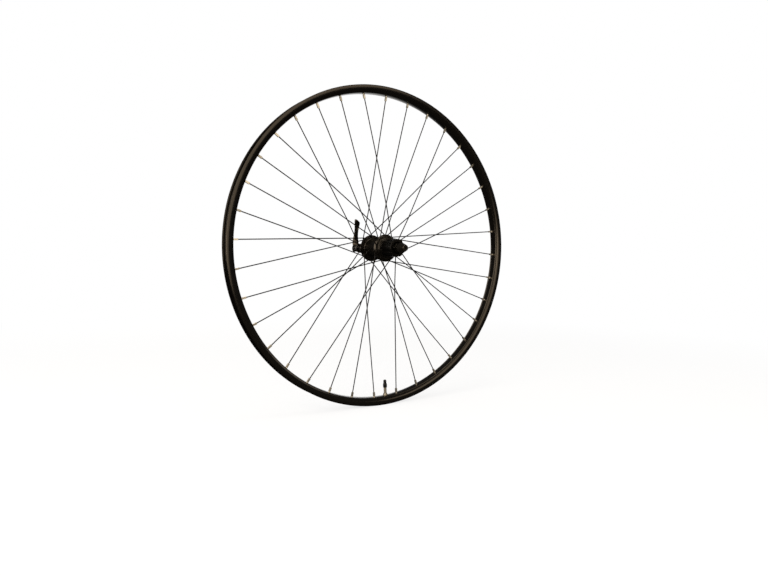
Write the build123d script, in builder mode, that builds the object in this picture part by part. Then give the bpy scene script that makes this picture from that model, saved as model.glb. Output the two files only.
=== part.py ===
from build123d import *
import os
from math import cos, radians, sin

# Rear wheel of a bicycle, without its tyre: a laced rim, a hub with a cassette
# body on one side, and a hollow axle with a quick-release skewer through it.
# The origin is on the axle line in the rim's middle plane. Y runs along the axle,
# with the lever side at +Y and the drive side at -Y. X points forward, Z points up.

# Rim: sizes across its section
bead_seat_diameter = 622.0
rim_lip_height = 6.0
rim_depth = 15.4
rim_width = 25.6
rim_lip_wall = 1.9
rim_lip_round = 0.8
hook_depth = 1.2
hook_height = 1.6
hook_slope = 1.1
side_height = 6.8
bed_width = 11.7
bed_rise = 1.4
bed_wall = 2.0
bevel_wall = 1.8
bridge_wall = 1.2
well_width = 12.0
well_depth = 2.4
seat_fall = 0.4
tape_thickness = 0.5
tape_side_gap = 0.3

# Spokes and nipples
spoke_count = 36
crossings = 3
first_nipple_angle = 68.28
spoke_diameter = 2.0
spoke_head_diameter = 3.9
spoke_head_thickness = 1.0
elbow_radius = 2.5
crossing_radius = 60.0
crossing_gap = 0.2
nipple_head_diameter = 6.2
nipple_head_height = 1.5
nipple_neck_diameter = 4.0
nipple_neck_length = 3.4
nipple_square = 3.4
nipple_length = 14.0
nipple_hole_diameter = 5.0
access_hole_diameter = 8.5

# Hub shell
lever_flange_side = 34.5
drive_flange_side = 20.8
flange_diameter = 54.0
flange_thickness = 3.2
flange_edge = 0.7
flange_hole_circle = 45.0
flange_hole_diameter = 2.5
flange_root_diameter = 35.0
waist_diameter = 29.0
shell_bore = 23.0
lever_boss_wall = 2.4
drive_boss_step = 0.75
drive_boss_length = 4.0
web_thickness = 6.0
boss_edge = 0.8

# Axle, with the nuts and cones that are screwed on it
over_locknuts = 135.0
axle_diameter = 10.0
axle_bore = 5.6
axle_stub = 5.5
axle_stub_diameter = 9.2
locknut_length = 5.0
locknut_across_flats = 17.0
locknut_edge = 0.8
lever_spacer_length = 10.5
drive_spacer_length = 1.5
spacer_diameter = 15.5
cone_collar_length = 5.0
cone_step = 1.0
cone_nose = 1.5

# Ball bearings
ball_count = 9
ball_gap = 0.35
race_gap = 0.075
cone_race_turn = 60.0
cup_race_turn = 90.0
cup_wall = 1.5
cap_thickness = 1.2
cap_gap = 0.4

# Cassette body and the carrier that it turns on
body_diameter = 34.5
spline_depth = 1.4
spline_count = 9
spline_groove_width = 5.4
key_groove_width = 3.4
body_recess = 4.0
body_shoulder = 3.0
body_wall = 1.25
body_shell = 3.8
body_lip = 2.4
body_end_gap = 0.9
seal_thickness = 0.5
carrier_gap = 1.5
carrier_nose_length = 10.0
bolt_share = 0.33
bolt_head_share = 0.55
bolt_head_height = 5.0
bolt_gap = 1.0

# Quick release
skewer_diameter = 5.0
drive_drop_out_gap = 7.0
lever_drop_out_gap = 11.5
nut_diameter = 19.6
nut_tip_diameter = 12.0
nut_length = 16.5
nut_rim = 4.0
nut_flute_count = 6
nut_flute_diameter = 5.0
nut_flute_depth = 0.8
skewer_end_recess = 2.0
cup_diameter = 20.0
cup_neck_diameter = 16.0
cup_rim = 4.5
cup_length = 11.0
cup_seat_radius = 14.0
cam_diameter = 16.0
cam_throw = 1.5
cam_gap = 0.6
cam_width = 12.0
fork_gap = 5.8
eye_diameter = 7.0
eye_width = 5.2
pivot_diameter = 4.0
lever_reach = 62.0
lever_width = 10.5
lever_neck_width = 9.0
lever_root_thickness = 7.0
lever_tip_thickness = 4.2
lever_lean = 7.0
spring_wire = 0.9
spring_small_diameter = 7.4
spring_large_diameter = 12.6
spring_turns = 3.5
spring_pocket_diameter = 14.6
spring_pocket_depth = 4.0

# Valve
valve_angle = -86.72
valve_stem_diameter = 6.0
valve_stem_reach = 21.5
valve_hole_diameter = 6.6
valve_nut_diameter = 9.4
valve_nut_edge = 1.4
valve_nut_height = 4.8
valve_foot_diameter = 11.0
valve_foot_height = 3.2
valve_cap_diameter = 7.4
valve_cap_length = 18.0
valve_cap_reach = 31.0
valve_cap_wall = 0.6
valve_cap_neck_diameter = 5.7
valve_cap_neck_length = 8.4
valve_cap_slope = 0.9
valve_core_diameter = 2.6
valve_core_length = 5.6

# Clearances
thread_gap = 0.05
running_gap = 0.05
slip_gap = 0.3
seat_gap = 0.1
drill_gap = 1.0

# Places that follow from the sizes above
rim_radius = bead_seat_diameter / 2 + rim_lip_height
bead_seat_radius = bead_seat_diameter / 2
bed_radius = rim_radius - rim_depth
well_radius = bead_seat_radius - well_depth
nipple_seat_radius = bed_radius + bed_wall + seat_gap
nipple_pitch = 360 / spoke_count
flange_holes = spoke_count // 2
lead_angle = crossings * 360 / flange_holes
crossing_angle = lead_angle - 180 / flange_holes
hole_radius = flange_hole_circle / 2
locknut_face = over_locknuts / 2
axle_end = locknut_face + axle_stub
axle_radius = axle_diameter / 2
body_radius = body_diameter / 2
spline_root_radius = body_radius - spline_depth
body_bore_radius = spline_root_radius - body_wall
cup_radius = body_bore_radius - running_gap

# Balls as large as the cup allows, with a gap between neighbours in the row
half_step = sin(radians(180 / ball_count))
ball_diameter = (2 * half_step * (cup_radius - cup_wall - race_gap) - ball_gap) / (1 + half_step)
row_radius = (ball_diameter + ball_gap) / half_step / 2
race_radius = ball_diameter / 2 + race_gap
cone_radius = row_radius - cone_step
cup_depth = race_radius + cup_wall
cup_lip = ball_diameter / 2 + cap_gap
lever_cone_end = locknut_face - locknut_length - lever_spacer_length
drive_cone_end = locknut_face - locknut_length - drive_spacer_length
lever_ball_side = lever_cone_end - cone_collar_length - race_radius
drive_ball_side = drive_cone_end - cone_collar_length - race_radius
lever_shell_end = lever_ball_side + cup_lip + cap_thickness

# Carrier and its hollow bolt, in the room between the axle and the cassette body
body_inner_radius = spline_root_radius - body_shell
carrier_radius = body_inner_radius - carrier_gap
bolt_bore_radius = axle_radius + bolt_gap
bolt_radius = bolt_bore_radius + bolt_share * (carrier_radius - bolt_bore_radius)
bolt_head_radius = bolt_radius + bolt_head_share * (carrier_radius - bolt_radius)
drive_shell_end = drive_flange_side + flange_thickness / 2 + drive_boss_length
carrier_end = drive_ball_side + cup_lip
body_start = drive_shell_end + body_end_gap
body_end = locknut_face - body_recess


def wheel_point(radius, angle, side):
    """Point at a radius and an angle about the axle line, angle 0 forward and 90 up."""
    return Vector(radius * cos(radians(angle)), side, radius * sin(radians(angle)))


def radial_plane(radius, angle):
    """Plane that faces outward at a radius and an angle, its x direction along the axle."""
    outward = wheel_point(1, angle, 0)
    return Plane(origin=wheel_point(radius, angle, 0), x_dir=(0, 1, 0), z_dir=outward)


def side_plane(side):
    """Plane across the axle line at a side, x forward and y up, facing the drive side."""
    return Plane.XZ.offset(-side)


def turned(*outline):
    """Piece turned about the axle line from a closed outline of (radius, side) points."""
    with BuildPart() as piece:
        with BuildSketch():
            with BuildLine():
                Polyline(*outline, close=True)
            make_face()
        revolve(axis=Axis.Y)
    return piece


# Rim: an extruded double-wall section bent to a ring, hooked lips outside, a narrow
# spoke bed inside, drilled for the nipples, the tool that turns them, and the valve.
half_width = rim_width / 2
lip_inside = half_width - rim_lip_wall
hook_inside = lip_inside - hook_depth
bevel_radius = rim_radius - side_height
bed_edge_radius = bed_radius + bed_rise
hook_end_radius = rim_radius - rim_lip_round - hook_height
cavity_low = bed_radius + bed_wall
cavity_high = well_radius - bridge_wall
bevel_slope = (half_width - bed_width / 2) / (bevel_radius - bed_edge_radius)
cavity_low_half = bed_width / 2 - bevel_wall + bevel_slope * (cavity_low - bed_edge_radius)
cavity_high_half = cavity_low_half + bevel_slope * (cavity_high - cavity_low)
nipple_angles = [first_nipple_angle - nipple_pitch * k for k in range(spoke_count)]

with BuildPart() as rim:
    with BuildSketch():
        with BuildLine():
            bed = ThreePointArc(
                (bed_edge_radius, -bed_width / 2), (bed_radius, 0), (bed_edge_radius, bed_width / 2)
            )
            lever_half = Polyline(
                bed @ 1,
                (bevel_radius, half_width),
                (rim_radius - rim_lip_round, half_width),
                (rim_radius, half_width - rim_lip_round),
                (rim_radius, hook_inside + rim_lip_round),
                (rim_radius - rim_lip_round, hook_inside),
                (hook_end_radius, hook_inside),
                (hook_end_radius - hook_slope, lip_inside),
                (bead_seat_radius, lip_inside),
                (bead_seat_radius - seat_fall, well_width / 2 + well_depth - seat_fall),
                (well_radius, well_width / 2),
                (well_radius, 0),
            )
            mirror(lever_half, about=Plane.XZ)
        make_face()
        with BuildLine():
            Polyline(
                (cavity_low, -cavity_low_half),
                (cavity_low, cavity_low_half),
                (cavity_high, cavity_high_half),
                (cavity_high, -cavity_high_half),
                close=True,
            )
        make_face(mode=Mode.SUBTRACT)
    revolve(axis=Axis.Y)
    with BuildSketch(*[radial_plane(bed_radius - drill_gap, angle) for angle in nipple_angles]):
        Circle(nipple_hole_diameter / 2)
    extrude(amount=bed_wall + 2 * drill_gap, mode=Mode.SUBTRACT)
    with BuildSketch(*[radial_plane(cavity_high - drill_gap, angle) for angle in nipple_angles]):
        Circle(access_hole_diameter / 2)
    extrude(amount=bridge_wall + 2 * drill_gap, mode=Mode.SUBTRACT)
    with BuildSketch(radial_plane(bed_radius - drill_gap, valve_angle)):
        Circle(valve_hole_diameter / 2)
    extrude(amount=rim_depth, mode=Mode.SUBTRACT)

# Rim tape: a thin band round the well that closes the holes in the bridge.
tape_radius = well_radius + seat_gap
tape_half = well_width / 2 - tape_side_gap
with BuildPart() as rim_tape:
    with BuildSketch():
        with Locations((tape_radius + tape_thickness / 2, 0)):
            Rectangle(tape_thickness, 2 * tape_half)
    revolve(axis=Axis.Y)
    with BuildSketch(radial_plane(cavity_high, valve_angle)):
        Circle(valve_hole_diameter / 2)
    extrude(amount=rim_depth, mode=Mode.SUBTRACT)


# Spokes: plain wire with a pressed head. Each goes through its flange hole, bends over
# its elbow, swaps sides with its partner at the last crossing and ends in its nipple.
def spoke_corners(number):
    """Head, elbow, crossing and nipple end of a spoke, counted from the first nipple."""
    on_lever_side = number % 2 == 0
    pulling = number % 4 < 2
    flange_side = lever_flange_side if on_lever_side else -drive_flange_side
    outboard = 1 if on_lever_side else -1
    run_side = -outboard if pulling else outboard
    rim_angle = first_nipple_angle - nipple_pitch * number
    hub_angle = rim_angle - lead_angle if pulling else rim_angle + lead_angle
    head_step = flange_thickness / 2 + seat_gap
    elbow_step = flange_thickness / 2 + elbow_radius
    head = wheel_point(hole_radius, hub_angle, flange_side - run_side * head_step)
    elbow = wheel_point(hole_radius, hub_angle, flange_side + run_side * elbow_step)
    end = wheel_point(nipple_seat_radius, rim_angle, 0)
    near = hole_radius * sin(radians(crossing_angle))
    far = nipple_seat_radius * sin(radians(lead_angle - crossing_angle))
    share = near / (near + far)
    crossing = elbow + (end - elbow) * share
    swap = (spoke_diameter + crossing_gap) / 2
    crossing.Y = flange_side * (1 - share) - run_side * swap
    return head, elbow, crossing, end


def laced_spokes(number):
    """All spokes of one family: the first one, and its copies round the axle line."""
    head, elbow, crossing, end = spoke_corners(number)
    with BuildPart() as spoke:
        with BuildLine() as run:
            FilletPolyline(head, elbow, crossing, end, radius=[elbow_radius, crossing_radius])
        with BuildSketch(Plane(origin=head, z_dir=run.line % 0)):
            Circle(spoke_diameter / 2)
        sweep()
        with BuildSketch(Plane(origin=head, z_dir=run.line % 0)):
            Circle(spoke_head_diameter / 2)
        extrude(amount=-spoke_head_thickness)
    with BuildPart() as family:
        for turn in range(spoke_count // 4):
            add(spoke.part, rotation=(0, 4 * nipple_pitch * turn, 0))
    return family


spokes_lever_side_pulling = laced_spokes(0)
spokes_drive_side_pulling = laced_spokes(1)
spokes_lever_side_pushing = laced_spokes(2)
spokes_drive_side_pushing = laced_spokes(3)

# Nipples: turned brass with a cone under the head, a round neck that sits in the rim's
# hole, a square end for the key, and a bore that holds the end of the spoke.
cone_height = (nipple_head_diameter - nipple_neck_diameter) / 2
square_length = nipple_length - nipple_head_height - cone_height - nipple_neck_length

with BuildPart() as nipple:
    with BuildSketch(Plane.XZ):
        with BuildLine():
            Polyline(
                (0, -nipple_neck_length),
                (nipple_neck_diameter / 2, -nipple_neck_length),
                (nipple_neck_diameter / 2, 0),
                (nipple_head_diameter / 2, cone_height),
                (nipple_head_diameter / 2, cone_height + nipple_head_height),
                (0, cone_height + nipple_head_height),
                close=True,
            )
        make_face()
    revolve(axis=Axis.Z)
    with BuildSketch(Plane.XY.offset(-nipple_neck_length)):
        Rectangle(nipple_square, nipple_square)
    extrude(amount=-square_length)
    Hole(spoke_diameter / 2 + thread_gap)

nipple_places = []
for number in range(spoke_count):
    head, elbow, crossing, end = spoke_corners(number)
    pull = end - crossing
    nipple_places.append(Plane(origin=end, x_dir=pull.cross(Vector(0, 1, 0)), z_dir=pull))

with BuildPart() as nipples:
    with Locations(*nipple_places):
        add(nipple.part)

# Hub shell: turned alloy with two drilled flanges, a waisted barrel, a seat for the
# bearing cup at the lever end, and a threaded web and a socket at the drive end.
lever_outer = lever_flange_side + flange_thickness / 2
lever_inner = lever_flange_side - flange_thickness / 2
drive_outer = -drive_flange_side - flange_thickness / 2
drive_inner = -drive_flange_side + flange_thickness / 2
flange_radius = flange_diameter / 2
root_radius = flange_root_diameter / 2
shell_seat_radius = cup_radius + running_gap
lever_boss_radius = shell_seat_radius + lever_boss_wall
drive_boss_radius = body_radius + drive_boss_step
lever_cup_floor = lever_ball_side - cup_depth
socket_radius = carrier_radius + running_gap
socket_floor = -drive_shell_end + carrier_nose_length

with BuildPart() as hub_shell:
    with BuildSketch():
        with BuildLine():
            barrel = ThreePointArc(
                (root_radius, lever_inner),
                (waist_diameter / 2, (lever_inner + drive_inner) / 2),
                (root_radius, drive_inner),
            )
            Polyline(
                barrel @ 1,
                (flange_radius - flange_edge, drive_inner),
                (flange_radius, drive_inner - flange_edge),
                (flange_radius, drive_outer + flange_edge),
                (flange_radius - flange_edge, drive_outer),
                (drive_boss_radius, drive_outer),
                (drive_boss_radius, -drive_shell_end + boss_edge),
                (drive_boss_radius - boss_edge, -drive_shell_end),
                (socket_radius, -drive_shell_end),
                (socket_radius, socket_floor),
                (bolt_radius + thread_gap, socket_floor),
                (bolt_radius + thread_gap, socket_floor + web_thickness),
                (shell_bore / 2, socket_floor + web_thickness),
                (shell_bore / 2, lever_cup_floor - running_gap),
                (shell_seat_radius, lever_cup_floor - running_gap),
                (shell_seat_radius, lever_shell_end),
                (lever_boss_radius - boss_edge, lever_shell_end),
                (lever_boss_radius, lever_shell_end - boss_edge),
                (lever_boss_radius, lever_outer),
                (flange_radius - flange_edge, lever_outer),
                (flange_radius, lever_outer - flange_edge),
                (flange_radius, lever_inner + flange_edge),
                (flange_radius - flange_edge, lever_inner),
                barrel @ 0,
            )
        make_face()
    revolve(axis=Axis.Y)
    with BuildSketch(side_plane(lever_outer + flange_edge)):
        with PolarLocations(hole_radius, flange_holes, first_nipple_angle - lead_angle):
            Circle(flange_hole_diameter / 2)
    extrude(amount=flange_thickness + 2 * flange_edge, mode=Mode.SUBTRACT)
    with BuildSketch(side_plane(drive_inner + flange_edge)):
        with PolarLocations(hole_radius, flange_holes, first_nipple_angle - nipple_pitch - lead_angle):
            Circle(flange_hole_diameter / 2)
    extrude(amount=flange_thickness + 2 * flange_edge, mode=Mode.SUBTRACT)


# Bearings: pressed cups, ground cones and loose balls, with a dust cap over each row.
def bearing_cup(ball_side, outward):
    """Cup that opens outward, its race an arc about the ball's centre."""
    with BuildPart() as cup:
        with BuildSketch():
            with BuildLine():
                race = CenterArc((row_radius, ball_side), race_radius, 0, -cup_race_turn * outward)
                Polyline(
                    race @ 0,
                    (row_radius + race_radius, ball_side + outward * cup_lip),
                    (cup_radius, ball_side + outward * cup_lip),
                    (cup_radius, ball_side - outward * cup_depth),
                    (cone_radius, ball_side - outward * cup_depth),
                    (cone_radius, ball_side - outward * race_radius),
                    race @ 1,
                )
            make_face()
        revolve(axis=Axis.Y)
    return cup


def bearing_cone(ball_side, outward):
    """Cone screwed on the axle, its race an arc about the ball's centre, then a collar."""
    collar_start = ball_side + outward * race_radius
    with BuildPart() as cone:
        with BuildSketch():
            with BuildLine():
                race = CenterArc((row_radius, ball_side), race_radius, 180, -cone_race_turn * outward)
                Polyline(
                    race @ 1,
                    (cone_radius, collar_start),
                    (cone_radius, collar_start + outward * cone_collar_length),
                    (axle_radius + thread_gap, collar_start + outward * cone_collar_length),
                    (axle_radius + thread_gap, ball_side - outward * cone_nose),
                    (row_radius - race_radius, ball_side - outward * cone_nose),
                    race @ 0,
                )
            make_face()
        revolve(axis=Axis.Y)
    return cone


def dust_cap(start, outward, outer_radius):
    """Flat ring that closes the gap between a cup and the collar of its cone."""
    end = start + outward * cap_thickness
    inner_radius = cone_radius + cap_gap
    return turned((inner_radius, start), (outer_radius, start), (outer_radius, end), (inner_radius, end))


bearing_cup_lever_side = bearing_cup(lever_ball_side, 1)
cone_lever_side = bearing_cone(lever_ball_side, 1)
cone_drive_side = bearing_cone(-drive_ball_side, -1)
dust_cap_lever_side = dust_cap(lever_ball_side + cup_lip, 1, cup_radius)
dust_cap_drive_side = dust_cap(-carrier_end, -1, cup_radius - running_gap)

with BuildPart() as bearing_balls:
    for ball_side in (lever_ball_side, -drive_ball_side):
        with Locations(side_plane(ball_side)):
            with PolarLocations(row_radius, ball_count):
                Sphere(ball_diameter / 2)

# Axle: a hollow threaded tube with spacers and locknuts against the cones.
stub_radius = axle_stub_diameter / 2
axle = turned(
    (axle_bore / 2, -axle_end),
    (stub_radius, -axle_end),
    (stub_radius, -locknut_face),
    (axle_radius, -locknut_face),
    (axle_radius, locknut_face),
    (stub_radius, locknut_face),
    (stub_radius, axle_end),
    (axle_bore / 2, axle_end),
)


def spacer(start, end):
    """Plain ring on the axle between two sides."""
    bore = axle_radius + thread_gap
    rim_of_ring = spacer_diameter / 2
    return turned((bore, start), (rim_of_ring, start), (rim_of_ring, end), (bore, end))


lever_spacer_end = locknut_face - locknut_length
drive_spacer_end = -locknut_face + locknut_length
spacer_lever_side = spacer(lever_cone_end, lever_spacer_end)
spacer_drive_side = spacer(drive_spacer_end, -drive_cone_end)


def locknut(start, outward):
    """Hexagon nut on the axle, with its corners turned off on the outer face."""
    with BuildPart() as nut:
        with BuildSketch(side_plane(start)):
            RegularPolygon(locknut_across_flats / 2, 6, major_radius=False)
            Circle(axle_radius + thread_gap, mode=Mode.SUBTRACT)
        extrude(amount=-outward * locknut_length)
        outer_edges = nut.edges().group_by(Axis.Y)[-1 if outward > 0 else 0]
        chamfer(outer_edges.filter_by(GeomType.LINE), locknut_edge)
    return nut


locknut_lever_side = locknut(lever_spacer_end, 1)
locknut_drive_side = locknut(drive_spacer_end, -1)

# Carrier: the fixed half of the freewheel, bolted into the hub shell's socket, with the
# drive-side bearing cup turned in its outer end.
carrier_start = socket_floor - running_gap
carrier_neck = -drive_ball_side + cup_depth
bolt_seat = carrier_neck + bolt_head_height
with BuildPart() as freehub_carrier:
    with BuildSketch():
        with BuildLine():
            race = CenterArc((row_radius, -drive_ball_side), race_radius, 0, cup_race_turn)
            Polyline(
                race @ 0,
                (row_radius + race_radius, -carrier_end),
                (cup_radius, -carrier_end),
                (cup_radius, carrier_neck),
                (carrier_radius, carrier_neck + cup_radius - carrier_radius),
                (carrier_radius, carrier_start),
                (bolt_radius + thread_gap, carrier_start),
                (bolt_radius + thread_gap, bolt_seat),
                (bolt_head_radius + thread_gap, bolt_seat),
                (bolt_head_radius + thread_gap, -drive_ball_side + race_radius),
                race @ 1,
            )
        make_face()
    revolve(axis=Axis.Y)

# Hollow bolt that holds the carrier in the hub shell; a hexagon key fits its head.
bolt_end = socket_floor + web_thickness
freehub_bolt = turned(
    (bolt_bore_radius, bolt_end),
    (bolt_radius, bolt_end),
    (bolt_radius, bolt_seat - seat_gap),
    (bolt_head_radius, bolt_seat - seat_gap),
    (bolt_head_radius, carrier_neck),
    (bolt_bore_radius, carrier_neck),
)

# Cassette body: splined outside, one groove narrower so that sprockets go on one way,
# a lip at its outer end that keeps dirt from the bearing.
lip_start = -carrier_end - cap_thickness - slip_gap
lip_radius = cone_radius + 2 * cap_gap
with BuildPart() as freehub_body:
    with BuildSketch():
        with BuildLine():
            Polyline(
                (body_inner_radius, -body_start),
                (body_radius, -body_start),
                (body_radius, -body_end + boss_edge),
                (body_radius - boss_edge, -body_end),
                (lip_radius + body_lip, -body_end),
                (lip_radius, -body_end + body_lip),
                (lip_radius, lip_start),
                (body_bore_radius, lip_start),
                (body_bore_radius, carrier_neck + cup_radius - carrier_radius + slip_gap),
                (body_inner_radius, carrier_neck + cup_radius - carrier_radius + slip_gap),
                close=True,
            )
        make_face()
    revolve(axis=Axis.Y)
    with BuildSketch(side_plane(-body_start - body_shoulder)):
        with PolarLocations(body_radius, spline_count - 1, 0, 360 * (spline_count - 1) / spline_count):
            Rectangle(2 * spline_depth, spline_groove_width)
        with PolarLocations(body_radius, 1, -360 / spline_count):
            Rectangle(2 * spline_depth, key_groove_width)
    extrude(amount=body_end - body_start, mode=Mode.SUBTRACT)

# Rubber seal between the hub shell and the cassette body.
freehub_seal = turned(
    (body_inner_radius, -body_start + running_gap),
    (spline_root_radius, -body_start + running_gap),
    (spline_root_radius, -body_start + running_gap + seal_thickness),
    (body_inner_radius, -body_start + running_gap + seal_thickness),
)

# Quick-release rod: runs through the axle, an eye at the lever end carries the pivot pin.
skewer_radius = skewer_diameter / 2
nut_face = -locknut_face - drive_drop_out_gap
nut_end = nut_face - nut_length
cup_face = locknut_face + lever_drop_out_gap
cup_seat = cup_face + cup_length
pivot_side = cup_seat + cam_gap + cam_diameter / 2 + cam_throw
with BuildPart() as skewer_rod:
    with BuildSketch(side_plane(nut_end + skewer_end_recess)):
        Circle(skewer_radius)
    extrude(amount=nut_end + skewer_end_recess - pivot_side)
    with BuildSketch(Plane.YZ.offset(-eye_width / 2)):
        with Locations((pivot_side, 0)):
            Circle(eye_diameter / 2)
    extrude(amount=eye_width)
    with BuildSketch(Plane.YZ.offset(-eye_width / 2)):
        with Locations((pivot_side, 0)):
            Circle(pivot_diameter / 2 + running_gap)
    extrude(amount=eye_width, mode=Mode.SUBTRACT)

with BuildPart() as lever_pivot_pin:
    with BuildSketch(Plane.YZ.offset(-cam_width / 2)):
        with Locations((pivot_side, 0)):
            Circle(pivot_diameter / 2)
    extrude(amount=cam_width)

# Cam lever: a forked boss, round but off centre on its pivot, with a slim arm that leans
# in towards the spokes when closed.
cam_side = pivot_side - cam_throw
arm_outside = pivot_side + lever_root_thickness / 2
tip_outside = arm_outside - lever_lean
middle_outside = arm_outside - lever_lean / 4
middle_thickness = (lever_root_thickness + lever_tip_thickness) / 2
with BuildPart() as cam_lever:
    with BuildSketch(Plane.YZ):
        with Locations((cam_side, 0)):
            Circle(cam_diameter / 2)
        with BuildLine():
            outside = ThreePointArc(
                (arm_outside, 0),
                (middle_outside, lever_reach / 2),
                (tip_outside, lever_reach),
            )
            inside = ThreePointArc(
                (tip_outside - lever_tip_thickness, lever_reach - lever_tip_thickness),
                (middle_outside - middle_thickness, lever_reach / 2),
                (arm_outside - lever_root_thickness, 0),
            )
            Line(outside @ 1, inside @ 0)
            Line(inside @ 1, outside @ 0)
        make_face()
    extrude(amount=cam_width, both=True)
    with BuildSketch(Plane.XZ):
        with BuildLine():
            right = Polyline(
                (0, -cam_diameter),
                (cam_width / 2, -cam_diameter),
                (cam_width / 2, cam_diameter / 2),
                (lever_neck_width / 2, cam_diameter),
                (lever_width / 2, lever_reach - lever_width / 2),
            )
            tip_left = (-lever_width / 2, lever_reach - lever_width / 2)
            top = ThreePointArc(right @ 1, (0, lever_reach), tip_left)
            Polyline(
                top @ 1,
                (-lever_neck_width / 2, cam_diameter),
                (-cam_width / 2, cam_diameter / 2),
                (-cam_width / 2, -cam_diameter),
                (0, -cam_diameter),
            )
        make_face()
    extrude(amount=-2 * pivot_side, mode=Mode.INTERSECT)
    with BuildSketch(Plane.XY.offset(-cam_diameter)):
        with Locations((0, pivot_side)):
            Rectangle(fork_gap, 2 * cam_diameter)
    extrude(amount=cam_diameter + eye_diameter / 2 + slip_gap, mode=Mode.SUBTRACT)
    with BuildSketch(Plane.YZ.offset(-cam_width)):
        with Locations((pivot_side, 0)):
            Circle(pivot_diameter / 2 + running_gap)
    extrude(amount=2 * cam_width, mode=Mode.SUBTRACT)

# Cup that the cam presses on: clamps the frame, hollow for the spring, with a trough for
# the cam on its outer end.
cup_bore = skewer_radius + slip_gap
with BuildPart() as cam_cup:
    with BuildSketch():
        with BuildLine():
            Polyline(
                (spring_pocket_diameter / 2, cup_face),
                (cup_diameter / 2, cup_face),
                (cup_diameter / 2, cup_face + cup_rim),
                (cup_neck_diameter / 2, cup_face + 2 * cup_rim),
                (cup_neck_diameter / 2, cup_seat + cup_rim),
                (cup_bore, cup_seat + cup_rim),
                (cup_bore, cup_face + spring_pocket_depth),
                (spring_pocket_diameter / 2, cup_face + spring_pocket_depth),
                close=True,
            )
        make_face()
    revolve(axis=Axis.Y)
    with BuildSketch(Plane.YZ.offset(-cup_diameter)):
        with Locations((cup_seat + cup_seat_radius, 0)):
            Circle(cup_seat_radius)
    extrude(amount=2 * cup_diameter, mode=Mode.SUBTRACT)

# Skewer nut: a fluted cone screwed on the rod's drive end.
with BuildPart() as skewer_nut:
    with BuildSketch():
        with BuildLine():
            Polyline(
                (spring_pocket_diameter / 2, nut_face),
                (nut_diameter / 2, nut_face),
                (nut_diameter / 2, nut_face - nut_rim),
                (nut_tip_diameter / 2, nut_end + boss_edge),
                (nut_tip_diameter / 2 - boss_edge, nut_end),
                (skewer_radius + thread_gap, nut_end),
                (skewer_radius + thread_gap, nut_face - spring_pocket_depth),
                (spring_pocket_diameter / 2, nut_face - spring_pocket_depth),
                close=True,
            )
        make_face()
    revolve(axis=Axis.Y)
    with BuildSketch(side_plane(nut_face - nut_rim)):
        with PolarLocations(nut_diameter / 2 + nut_flute_diameter / 2 - nut_flute_depth, nut_flute_count):
            Circle(nut_flute_diameter / 2)
    extrude(amount=-nut_rim, mode=Mode.SUBTRACT)


# Springs: wire cones round the rod, small end against the axle, large end in its pocket.
def cone_spring(start, length, outward):
    """Conical spring that widens away from the axle's end."""
    small = (spring_small_diameter - spring_wire) / 2
    large = (spring_large_diameter - spring_wire) / 2
    height = length - spring_wire
    with BuildPart() as spring:
        with BuildLine() as coil:
            Helix(
                pitch=height / spring_turns,
                height=height,
                radius=small,
                center=(0, start + outward * spring_wire / 2, 0),
                direction=(0, outward, 0),
                cone_angle=Vector(height, large - small).get_signed_angle(Vector(1, 0)),
            )
        with BuildSketch(Plane(origin=coil.line @ 0, z_dir=coil.line % 0)):
            RegularPolygon(spring_wire / 2, 6)
        sweep(is_frenet=True)
    return spring


lever_spring_length = cup_face + spring_pocket_depth - axle_end - 2 * seat_gap
drive_spring_length = -axle_end - (nut_face - spring_pocket_depth) - 2 * seat_gap
spring_lever_side = cone_spring(axle_end + seat_gap, lever_spring_length, 1)
spring_drive_side = cone_spring(-axle_end - seat_gap, drive_spring_length, -1)

# Valve: a slim threaded stem with a rubber foot in the rim's well, a ring nut under the
# spoke bed, a core in its tip and a domed cap over it.
valve_axis = Axis((0, 0, 0), wheel_point(1, valve_angle, 0))
valve_sheet = Plane(origin=(0, 0, 0), x_dir=(0, 1, 0), z_dir=wheel_point(1, valve_angle - 90, 0))


def valve_turned(*outline):
    """Piece turned about the valve's line from a closed outline of (radius, distance to the axle)."""
    with BuildPart() as piece:
        with BuildSketch(valve_sheet):
            with BuildLine():
                Polyline(*outline, close=True)
            make_face()
        revolve(axis=valve_axis)
    return piece


stem_radius = valve_stem_diameter / 2
stem_end = bed_radius - valve_stem_reach
foot_start = tape_radius + tape_thickness + seat_gap
foot_end = foot_start + valve_foot_height
core_radius = valve_core_diameter / 2
core_end = stem_end - valve_core_length
nut_start = bed_radius - seat_gap
nut_edge_end = bed_radius - valve_nut_edge
nut_tip = bed_radius - valve_nut_height
valve_stem = valve_turned(
    (0, stem_end),
    (stem_radius, stem_end),
    (stem_radius, foot_start),
    (0, foot_start),
)
valve_foot = valve_turned(
    (0, foot_start),
    (valve_foot_diameter / 2, foot_start),
    (stem_radius, foot_end),
    (0, foot_end),
)
valve_nut = valve_turned(
    (stem_radius + thread_gap, nut_start),
    (valve_nut_diameter / 2, nut_start),
    (valve_nut_diameter / 2, nut_edge_end),
    (stem_radius + valve_cap_wall, nut_tip),
    (stem_radius + thread_gap, nut_tip),
)
valve_core = valve_turned(
    (0, core_end),
    (core_radius, core_end),
    (core_radius, stem_end),
    (0, stem_end),
)

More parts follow.
